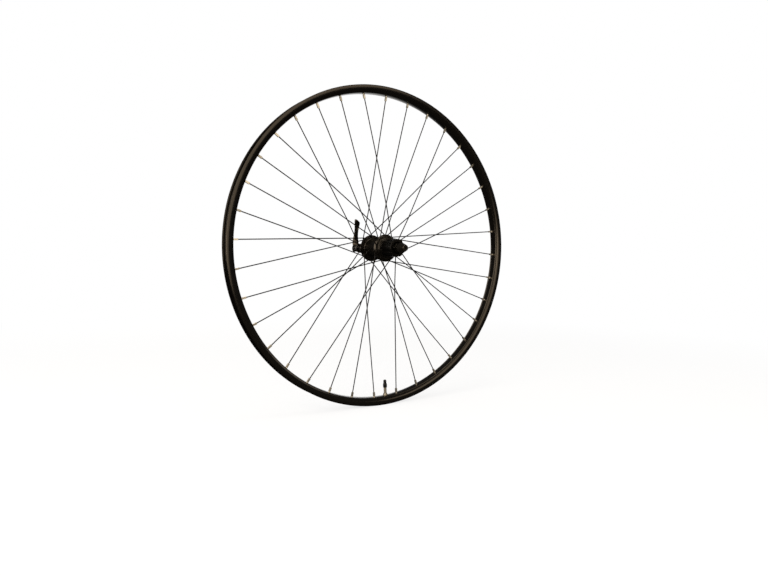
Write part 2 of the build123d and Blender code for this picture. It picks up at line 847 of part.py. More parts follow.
# Valve cap: a wide grip that screws on the stem and a narrow domed neck over the core.
cap_radius = valve_cap_diameter / 2
neck_radius = valve_cap_neck_diameter / 2
cap_end = bed_radius - valve_cap_reach
cap_mouth = cap_end + valve_cap_length
cap_step = cap_end + valve_cap_neck_length
with BuildPart() as valve_cap:
    with BuildSketch(valve_sheet):
        with BuildLine():
            dome = CenterArc((0, cap_end + neck_radius), neck_radius, -90, 90)
            Polyline(
                dome @ 1,
                (neck_radius, cap_step),
                (cap_radius, cap_step + valve_cap_slope),
                (cap_radius, cap_mouth),
                (stem_radius + thread_gap, cap_mouth),
                (stem_radius + thread_gap, stem_end - seat_gap),
                (core_radius + slip_gap, stem_end - seat_gap),
                (core_radius + slip_gap, core_end - seat_gap),
                (0, core_end - seat_gap),
                dome @ 0,
            )
        make_face()
    revolve(axis=valve_axis)

pieces = {
    "rim": rim,
    "rim_tape": rim_tape,
    "spokes_lever_side_pulling": spokes_lever_side_pulling,
    "spokes_lever_side_pushing": spokes_lever_side_pushing,
    "spokes_drive_side_pulling": spokes_drive_side_pulling,
    "spokes_drive_side_pushing": spokes_drive_side_pushing,
    "nipples": nipples,
    "hub_shell": hub_shell,
    "bearing_cup_lever_side": bearing_cup_lever_side,
    "dust_cap_lever_side": dust_cap_lever_side,
    "dust_cap_drive_side": dust_cap_drive_side,
    "bearing_balls": bearing_balls,
    "cone_lever_side": cone_lever_side,
    "cone_drive_side": cone_drive_side,
    "axle": axle,
    "spacer_lever_side": spacer_lever_side,
    "spacer_drive_side": spacer_drive_side,
    "locknut_lever_side": locknut_lever_side,
    "locknut_drive_side": locknut_drive_side,
    "freehub_carrier": freehub_carrier,
    "freehub_bolt": freehub_bolt,
    "freehub_body": freehub_body,
    "freehub_seal": freehub_seal,
    "skewer_rod": skewer_rod,
    "lever_pivot_pin": lever_pivot_pin,
    "cam_lever": cam_lever,
    "cam_cup": cam_cup,
    "skewer_nut": skewer_nut,
    "spring_lever_side": spring_lever_side,
    "spring_drive_side": spring_drive_side,
    "valve_stem": valve_stem,
    "valve_foot": valve_foot,
    "valve_nut": valve_nut,
    "valve_core": valve_core,
    "valve_cap": valve_cap,
}

os.makedirs("parts", exist_ok=True)
for name, piece in pieces.items():
    piece.part.label = name
    export_step(piece.part, f"parts/{name}.step")
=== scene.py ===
import bmesh
import bpy
import numpy as np
from mathutils import Matrix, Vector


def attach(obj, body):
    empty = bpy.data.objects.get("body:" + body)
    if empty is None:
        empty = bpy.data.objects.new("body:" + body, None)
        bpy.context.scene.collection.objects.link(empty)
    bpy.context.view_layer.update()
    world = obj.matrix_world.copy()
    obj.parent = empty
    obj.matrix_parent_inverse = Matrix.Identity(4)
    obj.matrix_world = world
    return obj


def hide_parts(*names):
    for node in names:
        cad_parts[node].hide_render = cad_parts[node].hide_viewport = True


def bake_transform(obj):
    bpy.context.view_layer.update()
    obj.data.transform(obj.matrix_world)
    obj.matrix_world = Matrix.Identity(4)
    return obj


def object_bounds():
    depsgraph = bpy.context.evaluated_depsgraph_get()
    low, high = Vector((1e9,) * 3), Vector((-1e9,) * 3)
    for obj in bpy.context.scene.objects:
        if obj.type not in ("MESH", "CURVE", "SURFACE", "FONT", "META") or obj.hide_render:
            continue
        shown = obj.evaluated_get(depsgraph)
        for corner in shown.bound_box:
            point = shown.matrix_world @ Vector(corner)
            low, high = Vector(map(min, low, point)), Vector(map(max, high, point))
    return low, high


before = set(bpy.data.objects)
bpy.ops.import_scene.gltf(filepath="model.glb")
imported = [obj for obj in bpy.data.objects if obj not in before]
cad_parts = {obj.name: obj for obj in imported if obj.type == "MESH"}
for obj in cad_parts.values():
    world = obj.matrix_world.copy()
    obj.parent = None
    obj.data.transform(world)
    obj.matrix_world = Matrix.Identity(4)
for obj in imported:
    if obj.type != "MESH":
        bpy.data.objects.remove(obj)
cad_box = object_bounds()

# Rear wheel of a bicycle without its tyre, from the hub outwards. Y runs along the axle to
# the lever side, the drive side is at -Y, and a side is a place along Y.


# Hub shell: turned from an aluminium bar and drilled for the spokes, then anodised black.
# Fine turning marks run round the axle, and the thin edges of the flanges are polished by use.
MM = 0.001


def linear(hex_colour):
    """sRGB hex to linear: c / 12.92 up to 0.04045, above that ((c + 0.055) / 1.055) to the power 2.4."""
    c = np.array([int(hex_colour[i:i + 2], 16) for i in (1, 3, 5)]) / 255
    return (*np.where(c <= 0.04045, c / 12.92, ((c + 0.055) / 1.055) ** 2.4), 1.0)


def put(tree, kind, feeds=None, **settings):
    """Adds one node with its settings; feeds gives its inputs a value or another node's output."""
    node = tree.nodes.new(kind)
    for key, value in settings.items():
        setattr(node, key, value)
    for key, value in (feeds or {}).items():
        if isinstance(value, bpy.types.NodeSocket):
            tree.links.new(value, node.inputs[key])
        else:
            node.inputs[key].default_value = value
    return node


def finish(name, hexes, metallic, roughness, grain_mm, depth_mm, turned=False, edge_mm=0.3, **sockets):
    """Finish of a made surface: two close colours in soft clouds, a third where the edges are rubbed.

    The grain is noise of grain_mm across, and the clouds are cloud_ratio times as broad. On a turned
    piece the grain is read at (radius, side), so that it runs round the axle as tool marks do. It sets
    the bump, and the roughness between two values. An edge is rubbed where the normal, smoothed over
    edge_mm, turns from the face's own: as the cosine between them falls from rub_from to rub_full.
    """
    cloud_ratio, rub_from, rub_full, rub_share = 30, 0.985, 0.85, 0.55
    grain_low, grain_high = 0.3, 0.7
    material = bpy.data.materials.new(name)
    material.use_nodes = True
    tree = material.node_tree
    tree.nodes.clear()
    place = put(tree, "ShaderNodeTexCoord").outputs["Object"]
    grain_place = place
    if turned:
        axes = put(tree, "ShaderNodeSeparateXYZ", {0: place})
        flat = put(tree, "ShaderNodeCombineXYZ", {"X": axes.outputs["X"], "Y": axes.outputs["Z"]})
        radius = put(tree, "ShaderNodeVectorMath", {0: flat.outputs[0]}, operation="LENGTH")
        round_axle = {"X": radius.outputs["Value"], "Y": axes.outputs["Y"]}
        grain_place = put(tree, "ShaderNodeCombineXYZ", round_axle).outputs[0]
    grain = put(tree, "ShaderNodeTexNoise", {
        "Vector": grain_place, "Scale": 1 / (grain_mm * MM), "Detail": 3.0, "Roughness": 0.55})
    clouds = put(tree, "ShaderNodeTexNoise", {
        "Vector": place, "Scale": 1 / (cloud_ratio * grain_mm * MM), "Detail": 2.0})
    dark, light, worn = map(linear, hexes)
    coloured = put(tree, "ShaderNodeMix", {
        "Factor": clouds.outputs["Fac"], "A": dark, "B": light}, data_type="RGBA")
    normal = put(tree, "ShaderNodeNewGeometry").outputs["Normal"]
    if edge_mm:
        true_normal = normal
        normal = put(tree, "ShaderNodeBevel", {"Radius": edge_mm * MM}, samples=6).outputs[0]
        turn = put(tree, "ShaderNodeVectorMath", {0: normal, 1: true_normal}, operation="DOT_PRODUCT")
        rubbed = put(tree, "ShaderNodeMapRange", {
            "Value": turn.outputs["Value"], "From Min": rub_from, "From Max": rub_full, "To Max": rub_share})
        coloured = put(tree, "ShaderNodeMix", {
            "Factor": rubbed.outputs[0], "A": coloured.outputs["Result"], "B": worn}, data_type="RGBA")
    dull = put(tree, "ShaderNodeMapRange", {
        "Value": grain.outputs["Fac"], "From Min": grain_low, "From Max": grain_high,
        "To Min": roughness[0], "To Max": roughness[1]})
    bump = put(tree, "ShaderNodeBump", {
        "Height": grain.outputs["Fac"], "Distance": depth_mm * MM, "Normal": normal})
    shader = put(tree, "ShaderNodeBsdfPrincipled", {
        "Base Color": coloured.outputs["Result"], "Metallic": metallic, "Roughness": dull.outputs[0],
        "Normal": bump.outputs[0], **sockets})
    put(tree, "ShaderNodeOutputMaterial", {"Surface": shader.outputs[0]})
    return material


def rounded(corners, steps=6):
    """Closed outline from rows of (radius, side, cut): each corner is cut back on both sides and bridged.

    The bridge is the parabola (1 - t)^2 a + 2 t (1 - t) p + t^2 b, from cut a past corner p to cut b.
    """
    corners = np.asarray(corners, float)
    p, cuts = corners[:, :2], corners[:, 2:]
    back = np.roll(p, 1, axis=0) - p
    on = np.roll(p, -1, axis=0) - p
    a = p + cuts * back / np.linalg.norm(back, axis=1, keepdims=True)
    b = p + cuts * on / np.linalg.norm(on, axis=1, keepdims=True)
    t = np.linspace(0, 1, steps)[None, :, None]
    bridges = (1 - t) ** 2 * a[:, None] + 2 * t * (1 - t) * p[:, None] + t ** 2 * b[:, None]
    return bridges.reshape(-1, 2)


def lathe(outline, columns):
    """Grid of a closed outline of (radius, side) turned about Y: x = r sin a, y = side, z = r cos a."""
    outline = np.concatenate([outline, outline[:1]])
    angle = np.linspace(0, 2 * np.pi, columns, endpoint=False)
    radius, side = outline[:, :1], outline[:, 1:]
    return np.stack([radius * np.sin(angle), side + 0 * angle, radius * np.cos(angle)], -1)


def surface(name, grids):
    """Mesh of one or more grids of points, each (rows, columns, xyz) with its columns closed to a ring.

    Rows that shrink to a point, or that meet the first row again, are merged, so the shape is closed.
    Its faces are turned over where the volume, a sixth of the sum of p0 . (p1 x p2), is negative.
    """
    merge_within, drop_within, sharp_from = 1e-7, 1e-8, np.radians(38)
    grids = np.asarray(grids, float)
    grids = grids.reshape((-1,) + grids.shape[-3:])
    index = np.arange(grids[..., 0].size).reshape(grids.shape[:3])
    beside = np.roll(index, -1, axis=2)
    quads = np.stack([index[:, :-1], beside[:, :-1], beside[:, 1:], index[:, 1:]], -1).reshape(-1, 4)
    points = grids.reshape(-1, 3)
    corners = points[quads]
    halves = ((0, 1, 2), (0, 2, 3))
    volume = sum((corners[:, a] * np.cross(corners[:, b], corners[:, c])).sum() for a, b, c in halves)
    if volume < 0:
        quads = quads[:, ::-1]
    mesh = bpy.data.meshes.new(name)
    mesh.from_pydata(points.tolist(), [], quads.tolist())
    shape = bmesh.new()
    shape.from_mesh(mesh)
    bmesh.ops.remove_doubles(shape, verts=shape.verts, dist=merge_within)
    bmesh.ops.dissolve_degenerate(shape, edges=shape.edges, dist=drop_within)
    shape.to_mesh(mesh)
    shape.free()
    mesh.polygons.foreach_set("use_smooth", np.ones(len(mesh.polygons), bool))
    mesh.set_sharp_from_angle(angle=sharp_from)
    piece = bpy.data.objects.new(name, mesh)
    bpy.context.scene.collection.objects.link(piece)
    return piece


# The outline is in millimetres. The barrel's radius grows with the square of the way from its waist.
waist_radius, root_radius, flange_radius = 14.5, 17.5, 27.0
lever_inner, lever_outer, lever_slope = 32.9, 36.1, 2.1
drive_inner, drive_outer, drive_slope = -19.2, -22.4, 2.3
lever_boss, lever_boss_end, cup_radius, cup_floor = 17.0, 48.525, 14.6, 38.95
drive_boss, drive_boss_end, carrier_radius = 18.0, -26.4, 10.6
shell_bore, web_bore, web_lever, web_drive = 11.5, 7.55, -10.4, -16.4
barrel_rows, shell_columns = 25, 120
barrel_middle = (lever_inner + drive_inner) / 2
barrel_half = (lever_inner - drive_inner) / 2
barrel_side = np.linspace(drive_inner, lever_inner, barrel_rows)[1:-1]
barrel_flare = (root_radius - waist_radius) * ((barrel_side - barrel_middle) / barrel_half) ** 2
barrel = np.stack([waist_radius + barrel_flare, barrel_side, 0 * barrel_side], -1)
shell_outline = np.concatenate([[(root_radius, drive_inner, 1.6)], barrel, [
    (root_radius, lever_inner, 1.6), (flange_radius, lever_inner, 0.5),
    (flange_radius, lever_outer - lever_slope, 0.5), (flange_radius - lever_slope, lever_outer, 0.8),
    (lever_boss, lever_outer, 1.5), (lever_boss, lever_boss_end, 0.8), (cup_radius, lever_boss_end, 0.3),
    (cup_radius, cup_floor, 0.0), (shell_bore, cup_floor, 0.0), (shell_bore, web_lever, 0.0),
    (web_bore, web_lever, 0.0), (web_bore, web_drive, 0.0), (carrier_radius, web_drive, 0.0),
    (carrier_radius, drive_boss_end, 0.3), (drive_boss, drive_boss_end, 0.9), (drive_boss, drive_outer, 1.4),
    (flange_radius - drive_slope, drive_outer, 0.8), (flange_radius, drive_outer + drive_slope, 0.4),
    (flange_radius, drive_inner, 0.4)]])
shell = surface("hub_shell_turned", lathe(rounded(shell_outline) * MM, shell_columns))

# Anodising is a clear, dyed crust of oxide, so it shines as dark glass does: deep black with small warm
# highlights. The tool's marks, really about 0.1 mm apart, are drawn 0.8 mm apart so that they show.
oxide_crust = {"IOR": 1.6, "Specular Tint": linear("#ffefd9")}
black_anodised_hub = finish(
    "black_anodised_hub_aluminium", ("#090806", "#110f0c", "#4a453d"), 0.0, (0.16, 0.24),
    grain_mm=0.8, depth_mm=0.004, turned=True, edge_mm=0.3, **oxide_crust)
shell.data.materials.append(black_anodised_hub)
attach(shell, "wheel")
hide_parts("hub_shell")


# Bearings: pressed cups and ground cones of hardened steel with loose balls between them,
# under thin pressed dust caps. Ground faces are nearly smooth and dark with oil.
def dress(material, *names):
    """Gives nodes of the frame, which keep their own shapes, a finish of the scene's own."""
    for name in names:
        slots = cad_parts[name].data.materials
        slots.clear()
        slots.append(material)


# Oil makes ground steel a dark grey that still mirrors; its lines are drawn 0.5 mm apart to show.
oiled_steel = finish(
    "oiled_bearing_steel", ("#3a3733", "#4c4843", "#8a857d"), 1.0, (0.22, 0.34),
    grain_mm=0.5, depth_mm=0.004, turned=True)
dress(oiled_steel, "bearing_cup_lever_side", "cone_lever_side", "cone_drive_side")

# Polished steel is the brightest metal of the wheel, a clear mirror. Its faint unevenness is drawn
# 0.6 mm across so that it shows.
polished_steel = finish(
    "polished_ball_steel", ("#b4b2ae", "#c4c2be", "#d2d0cc"), 1.0, (0.06, 0.12),
    grain_mm=0.6, depth_mm=0.001, edge_mm=0.1)
dress(polished_steel, "bearing_balls")

# Black oxide is a thin brown-black skin that the steel shines through, and that wears off the edges.
# Its turning marks are drawn 0.6 mm apart so that they show.
blacked_steel = finish(
    "black_oxide_steel", ("#17150f", "#24211b", "#6f6a61"), 0.9, (0.30, 0.46),
    grain_mm=0.6, depth_mm=0.010, turned=True, edge_mm=0.35)
dress(blacked_steel, "dust_cap_lever_side", "dust_cap_drive_side")


# Axle: a hollow steel tube with a thread rolled on it, blacked, held by the cones,
# spacers and locknuts. Only its two threaded ends stand out past the locknuts.
def threaded(radius, side, depth, pitch, columns=48):
    """Grid turned about Y from rows of (radius, side), each lowered by its depth times a tooth.

    The tooth is 2 |s - 1/2|, where s is the fraction of side / pitch - turn. So the groove winds round
    as a screw's does, and its flanks are straight.
    """
    turn = np.linspace(0, 1, columns, endpoint=False)
    tooth = 2 * np.abs((side[:, None] / pitch - turn) % 1 - 0.5)
    reach = radius[:, None] - depth[:, None] * tooth
    angle = 2 * np.pi * turn
    across = np.broadcast_to(side[:, None], reach.shape)
    return np.stack([reach * np.sin(angle), across, reach * np.cos(angle)], -1)


axle_end, axle_face, axle_core, axle_bore = 73.0 * MM, 67.5 * MM, 5.0 * MM, 2.8 * MM
stub_radius, stub_edge, axle_pitch, axle_depth = 4.6 * MM, 0.5 * MM, 1.0 * MM, 0.5 * MM
stub_count = 45
stub_rows = np.linspace(axle_face, axle_end - stub_edge, stub_count)
half_side = np.concatenate([[0, axle_face], stub_rows, [axle_end, axle_end]])
half_radius = np.concatenate([
    [axle_core, axle_core], np.full(stub_count, stub_radius), [stub_radius - stub_edge, axle_bore]])
half_depth = np.concatenate([[0, 0], np.full(stub_count, axle_depth), [0, 0]])
axle_side = np.concatenate([-half_side[::-1], half_side[1:], [-axle_end]])
axle_radius = np.concatenate([half_radius[::-1], half_radius[1:], [axle_bore]])
axle_groove = np.concatenate([half_depth[::-1], half_depth[1:], [0]])
axle = surface("axle_threaded", threaded(axle_radius, axle_side, axle_groove, axle_pitch))
axle.data.materials.append(blacked_steel)
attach(axle, "axle_set")
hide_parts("axle")
dress(blacked_steel, "spacer_lever_side", "spacer_drive_side", "locknut_lever_side", "locknut_drive_side")

# Freehub: a hardened steel carrier bolted into the shell, and the splined body that turns on it
# and takes the sprockets. The body is milled from steel and blacked, with a rubber lip seal.
dress(oiled_steel, "freehub_carrier", "freehub_bolt")

# The mill leaves flat dark faces, and the edges of the splines are rubbed bright by the sprockets.
# The cutter's marks are drawn 0.7 mm apart so that they show.
milled_steel = finish(
    "blacked_spline_steel", ("#12110e", "#1f1c18", "#77716a"), 0.85, (0.26, 0.42),
    grain_mm=0.7, depth_mm=0.010, turned=True, edge_mm=0.4)
dress(milled_steel, "freehub_body")

# Moulded rubber is a soft flat black without highlights, with the mould's grain drawn coarse to show.
seal_rubber = finish(
    "moulded_seal_rubber", ("#0a0a0a", "#121212", "#1e1e1e"), 0.0, (0.55, 0.75),
    grain_mm=0.6, depth_mm=0.02, edge_mm=0.2, **{"IOR": 1.5})
dress(seal_rubber, "freehub_seal")

# Spokes: stainless wire drawn through a die and blacked, 36 of them laced three-cross, each with
# a cold-pressed head. The head is domed, and sits on the flange's face away from the wire's run.

# Drawn wire is smooth, and its sheen is one thin line along it. Its grain is drawn 0.9 mm across to show.
black_wire = finish(
    "black_drawn_spoke_steel", ("#14110d", "#211c17", "#5c5850"), 0.85, (0.30, 0.40),
    grain_mm=0.9, depth_mm=0.001, edge_mm=0.0)
spoke_families = ("lever_side_pulling", "lever_side_pushing", "drive_side_pulling", "drive_side_pushing")
dress(black_wire, *(f"spokes_{family}" for family in spoke_families))

spoke_count, crossings, first_nipple = 36, 3, 68.28
nipple_pitch = 360 / spoke_count
hole_pitch = 2 * nipple_pitch
lead = crossings * hole_pitch
hole_radius, lever_flange, drive_flange = 22.5 * MM, 34.5 * MM, -20.8 * MM
head_radius, head_rise, head_face = 1.95 * MM, 0.55 * MM, 2.7 * MM
number = np.arange(spoke_count)
on_lever = number % 2 == 0
pulling = number % 4 < 2
flange_side = np.where(on_lever, lever_flange, drive_flange)
outward = np.where(on_lever, 1, -1) * np.where(pulling, 1, -1)
hub_angle = np.radians(first_nipple - nipple_pitch * number + np.where(pulling, -lead, lead))
head_centre = np.stack([
    hole_radius * np.cos(hub_angle), flange_side + outward * head_face, hole_radius * np.sin(hub_angle)], -1)


def domes(centres, directions):
    """Domes on the flanges: the ring's radius falls as cos(lift), and its height rises as sin(lift)."""
    columns, rows = 16, 5
    ring = np.linspace(0, 2 * np.pi, columns, endpoint=False)
    lift = np.linspace(0, np.pi / 2, rows)
    spread = head_radius * np.cos(lift)[:, None]
    flat = np.stack([spread * np.cos(ring), 0 * spread * ring, spread * np.sin(ring)], -1)
    rise = head_rise * np.sin(lift)[None, :, None] * directions[:, None, None]
    grids = centres[:, None, None, :] + flat
    grids[..., 1] += rise
    return grids


heads = surface("spoke_heads", domes(head_centre, outward))
heads.data.materials.append(black_wire)
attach(heads, "wheel")

# Rim: an aluminium section pressed through a die, rolled to a ring and anodised black, with
# hooked lips for the tyre and a cloth tape over the well. The die's fine lines run along it.

# The section is in millimetres. The bed rises with the square of the side. The wall leans by wall_lean
# from the bed, so its side is the sum along the radius of one over the lean's tangent.
bed_radius, bed_half, bed_rise, rise_side = 301.6, 8.2, 0.25, 4.6
bed_edge, bed_step = 302.7, 0.3
wall_from, wall_to, wall_side = 303.3, 315.6, 12.8
lean_radius, lean_degrees = [304.6, 306.6, 309.4, 312.7, 315.2], [50, 56, 77, 83, 92]
lip_radius, lip_side, hook_radius, hook_side, hook_low = 316.9, 12.5, 316.0, 9.7, 314.6
bead_high, bead_low, bead_side = 313.5, 311.0, 10.9
seat_radius, seat_side, well_radius, well_side = 310.6, 8.0, 308.6, 6.0
bed_rows, wall_rows, rim_columns = 17, 28, 300
bed_side = np.linspace(-bed_half, bed_half, bed_rows)[1:-1]
bed = np.stack([bed_radius + bed_rise * (bed_side / rise_side) ** 2, bed_side, 0 * bed_side], -1)
wall_radius = np.linspace(wall_from, wall_to, wall_rows)
wall_lean = np.interp(wall_radius, lean_radius, np.radians(lean_degrees))
wall_rise = np.cumsum(1 / np.tan(wall_lean)) * (wall_radius[1] - wall_radius[0])
wall = np.stack([wall_radius, wall_side + wall_rise - wall_rise.max(), 0 * wall_radius], -1)
rim_half = np.concatenate([[(bed_edge, wall[0, 1] - bed_step, 0.3)], wall, [
    (lip_radius, lip_side, 0.4), (hook_radius, hook_side, 0.6), (hook_low, hook_side, 0.4),
    (bead_high, bead_side, 0.4), (bead_low, bead_side, 0.6), (seat_radius, seat_side, 0.4),
    (well_radius, well_side, 0.6)]])
rim_outline = np.concatenate([bed, rim_half, rim_half[::-1] * [1, -1, 1]])
rim = surface("rim_rolled", lathe(rounded(rim_outline) * MM, rim_columns))

# The same dyed oxide as on the hub, over a smoother metal: black, with a long soft band of light along
# the wall. The die's lines, really far under 0.1 mm apart, are drawn 1.2 mm apart so that they show.
black_rim = finish(
    "black_anodised_rim_aluminium", ("#080706", "#0e0c0a", "#2c2924"), 0.0, (0.11, 0.18),
    grain_mm=1.2, depth_mm=0.004, turned=True, edge_mm=0.3, **oxide_crust)
rim.data.materials.append(black_rim)
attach(rim, "wheel")
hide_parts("rim")

# Woven tape is a matt grey-black, broken up by threads about 0.5 mm wide.
cloth_tape = finish(
    "woven_rim_tape", ("#191a1c", "#232427", "#303236"), 0.0, (0.60, 0.80),
    grain_mm=0.5, depth_mm=0.05, edge_mm=0.1)
dress(cloth_tape, "rim_tape")

# Nipples: turned from brass and nickel plated, square at the end for the key. Each is screwed
# on its spoke through the rim's bed.

# The plating is warm and bright, and stands out against the black rim as small light dots.
# The tool's marks are drawn 0.5 mm apart so that they show.
nickel_brass = finish(
    "nickel_plated_brass", ("#d9cfba", "#e3dac8", "#f1ece1"), 0.85, (0.26, 0.38),
    grain_mm=0.5, depth_mm=0.003, edge_mm=0.25)
dress(nickel_brass, "nipples")

# Valve: a slim brass stem with a fine thread, nickel plated, on a rubber foot. A ring nut
# holds it against the spoke bed, and a moulded cap covers its core.
valve_angle, stem_radius = np.radians(-86.72), 3.0 * MM
stem_low, stem_high, stem_edge = 280.1 * MM, 309.3 * MM, 0.3 * MM
stem_pitch, stem_depth, stem_count = 0.8 * MM, 0.25 * MM, 260
stem_rows = np.linspace(stem_low + stem_edge, stem_high, stem_count)
stem_side = np.concatenate([[stem_low, stem_low], stem_rows, [stem_high]])
stem_reach = np.concatenate([[0, stem_radius - stem_edge], np.full(stem_count, stem_radius), [0]])
stem_groove = np.concatenate([[0, 0], np.full(stem_count, stem_depth), [0]])
stem_turned = threaded(stem_reach, stem_side, stem_groove, stem_pitch, columns=32)
valve_along = np.array([np.cos(valve_angle), 0, np.sin(valve_angle)])
valve_across = np.array([np.sin(valve_angle), 0, -np.cos(valve_angle)])


def up_valve(grid):
    """Lays a grid turned about Y along the valve: y times along, plus x times across, plus z on Y."""
    x, y, z = np.split(grid, 3, axis=-1)
    return y * valve_along + x * valve_across + z * np.array([0, 1, 0])


stem = surface("valve_stem_threaded", up_valve(stem_turned))

# Handled plating has lost its shine and lets the brass through: a duller, browner metal than the
# nipples'. Its scratches are drawn 0.5 mm across so that they show.
worn_nickel = finish(
    "worn_nickel_on_brass", ("#9a917f", "#a89f8e", "#c9c1b0"), 0.8, (0.34, 0.46),
    grain_mm=0.5, depth_mm=0.003, edge_mm=0.2)
stem.data.materials.append(worn_nickel)
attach(stem, "wheel")
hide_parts("valve_stem")
dress(worn_nickel, "valve_nut", "valve_core")
dress(seal_rubber, "valve_foot")

# The cap's outline is in millimetres, its sides from the axle. Between the ribs the collar's radius is
# less by rib_share: there the cosine of rib_count times the angle is over rib_gap.
cap_tip, cap_radius, shoulder, collar_low, collar_radius, cap_mouth = 269.1, 3.1, 276.6, 277.8, 4.05, 285.0
thread_bore, thread_end, core_bore, core_end = 3.05, 280.0, 1.45, 274.4
cap_columns, rib_count, rib_share, rib_gap, ribs_from, ribs_outside = 72, 12, 0.035, 0.3, 278.0, 3.5
cap_outline = [
    (0.0, cap_tip, 0.0), (cap_radius, cap_tip, 2.6), (cap_radius, shoulder, 0.6),
    (collar_radius, collar_low, 0.5), (collar_radius, cap_mouth, 0.5), (thread_bore, cap_mouth, 0.0),
    (thread_bore, thread_end, 0.0), (core_bore, thread_end, 0.0), (core_bore, core_end, 0.0),
    (0.0, core_end, 0.0)]
cap_turned = lathe(rounded(cap_outline) * MM, cap_columns)
cap_angle = np.linspace(0, 2 * np.pi, cap_columns, endpoint=False)
rib = 1 - rib_share * (np.cos(cap_angle * rib_count) > rib_gap)
on_collar = cap_turned[..., 1] > ribs_from * MM
gripped = on_collar & (np.hypot(cap_turned[..., 0], cap_turned[..., 2]) > ribs_outside * MM)
cap_turned[..., 0::2] *= np.where(gripped, rib, 1.0)[..., None]
cap = surface("valve_cap_moulded", up_valve(cap_turned))

# Polypropylene has the half gloss of its mould: black, with one broad soft highlight along the cap.
# The mould's grain is drawn 0.6 mm across so that it shows.
cap_plastic = finish(
    "moulded_black_polypropylene", ("#0b0b0b", "#121211", "#2a2a28"), 0.0, (0.26, 0.40),
    grain_mm=0.6, depth_mm=0.008, edge_mm=0.3, **{"IOR": 1.49})
cap.data.materials.append(cap_plastic)
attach(cap, "cap")
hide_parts("valve_cap")

# Quick release, rod and nut: a steel rod through the axle with an eye at the lever end, and
# a fluted aluminium nut screwed on its other end. The nut and the cam's cup are anodised black.
dress(blacked_steel, "skewer_rod")
dress(polished_steel, "lever_pivot_pin")

# Fine blasting under the oxide spreads the highlights a little; its pits are drawn 0.6 mm across to show.
blasted_black = finish(
    "black_blasted_aluminium", ("#0b0a09", "#13110e", "#4a453d"), 0.0, (0.18, 0.26),
    grain_mm=0.6, depth_mm=0.004, edge_mm=0.4, **oxide_crust)
dress(blasted_black, "skewer_nut", "cam_cup")

# Cam lever: forged aluminium, polished and then blacked. Two round cheeks turn off centre on
# the pivot pin, and a waisted arm with a dished face leans in towards the spokes.
cam_side, cam_radius = 98.6 * MM, 7.98 * MM
cheek_inside, cheek_outside, cheek_edge = 2.9 * MM, 6.0 * MM, 0.8 * MM
pin_hole, hole_edge = 3.6 * MM, 0.3 * MM
stations = np.array([4, 8, 12, 16, 24, 35, 48, 60.5]) * MM
face_at = np.array([102.9, 103.8, 105.2, 105.5, 104.1, 101.5, 98.9, 97.2]) * MM
thick_at = np.array([6.4, 6.6, 6.6, 6.2, 5.2, 4.8, 4.5, 4.2]) * MM
half_at = np.array([6.0, 6.9, 7.1, 6.2, 4.9, 4.6, 5.2, 5.7]) * MM
tip_length, tip_slant, slant_from = 3.0 * MM, 0.62, 35 * MM
scoop_from, scoop_length, scoop_depth = 33 * MM, 27 * MM, 2.0 * MM


def lever_arm():
    """Arm carried up Z: a rounded oblong at each height, its cosine and sine each to the power 1 / 2.

    Face, thickness and half width are curves of the fourth degree, fitted to the stations. Above
    slant_from the rows slant with the square of the way to the tip, and over the last part they shrink as
    a quarter circle. One face is scooped out by a squared sine of the height, times one less the fourth
    power of the way across.
    """
    corner_power, curve_degree, hollow_power = 0.5, 4, 4
    columns, body_rows, tip_rows = 48, 60, 10
    end = stations[-1]
    body = np.linspace(stations[0], end - tip_length, body_rows)
    tip = end - tip_length * (1 - np.sin(np.linspace(0, np.pi / 2, tip_rows)[1:]))
    height = np.concatenate([body[:1], body, tip])[:, None]
    face, thick, half = (
        np.polyval(np.polyfit(stations, values, curve_degree), height)
        for values in (face_at, thick_at, half_at))
    shrink = np.sqrt(1 - np.clip((height - end + tip_length) / tip_length, 0, 1) ** 2)
    shrink[0] = 0
    turn = np.linspace(0, 2 * np.pi, columns, endpoint=False)
    c, s = np.cos(turn), np.sin(turn)
    across = np.sign(c) * np.abs(c) ** corner_power
    through = np.sign(s) * np.abs(s) ** corner_power
    scoop = np.sin(np.pi * np.clip((height - scoop_from) / scoop_length, 0, 1)) ** 2
    dish = scoop_depth * scoop * (1 - across ** hollow_power) * (s < 0)
    x = half * shrink * across
    y = face - thick / 2 + thick / 2 * shrink * through + dish * shrink
    lean = tip_slant * np.clip((height - slant_from) / (end - slant_from), 0, 1) ** 2
    return np.stack([x, y, height - lean * x], -1)


def cheeks():
    """Two rings turned about the cam's own line along X, from a closed outline with rounded edges."""
    corners = [
        (pin_hole, cheek_inside, 0), (cam_radius, cheek_inside, cheek_edge),
        (cam_radius, cheek_outside, cheek_edge), (pin_hole, cheek_outside, hole_edge)]
    turned = lathe(rounded(corners), columns=64)
    one = np.stack([turned[..., 1], cam_side + turned[..., 0], turned[..., 2]], -1)
    return np.stack([one, (one * np.array([-1, 1, 1]))[:, ::-1]])


arm = surface("cam_lever_arm", lever_arm())
boss = surface("cam_lever_cheeks", cheeks())

# Polished and blacked aluminium mirrors as bare metal does, but dark and brown, with bright streaks
# along the arm's edges. Its grain, really far finer, is drawn 0.6 mm across so that it shows.
polished_black = finish(
    "black_polished_aluminium", ("#524c43", "#625b51", "#7c756a"), 1.0, (0.12, 0.20),
    grain_mm=0.6, depth_mm=0.002, edge_mm=0.4)
for piece in (arm, boss):
    piece.data.materials.append(polished_black)
    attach(piece, "lever")
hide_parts("cam_lever")


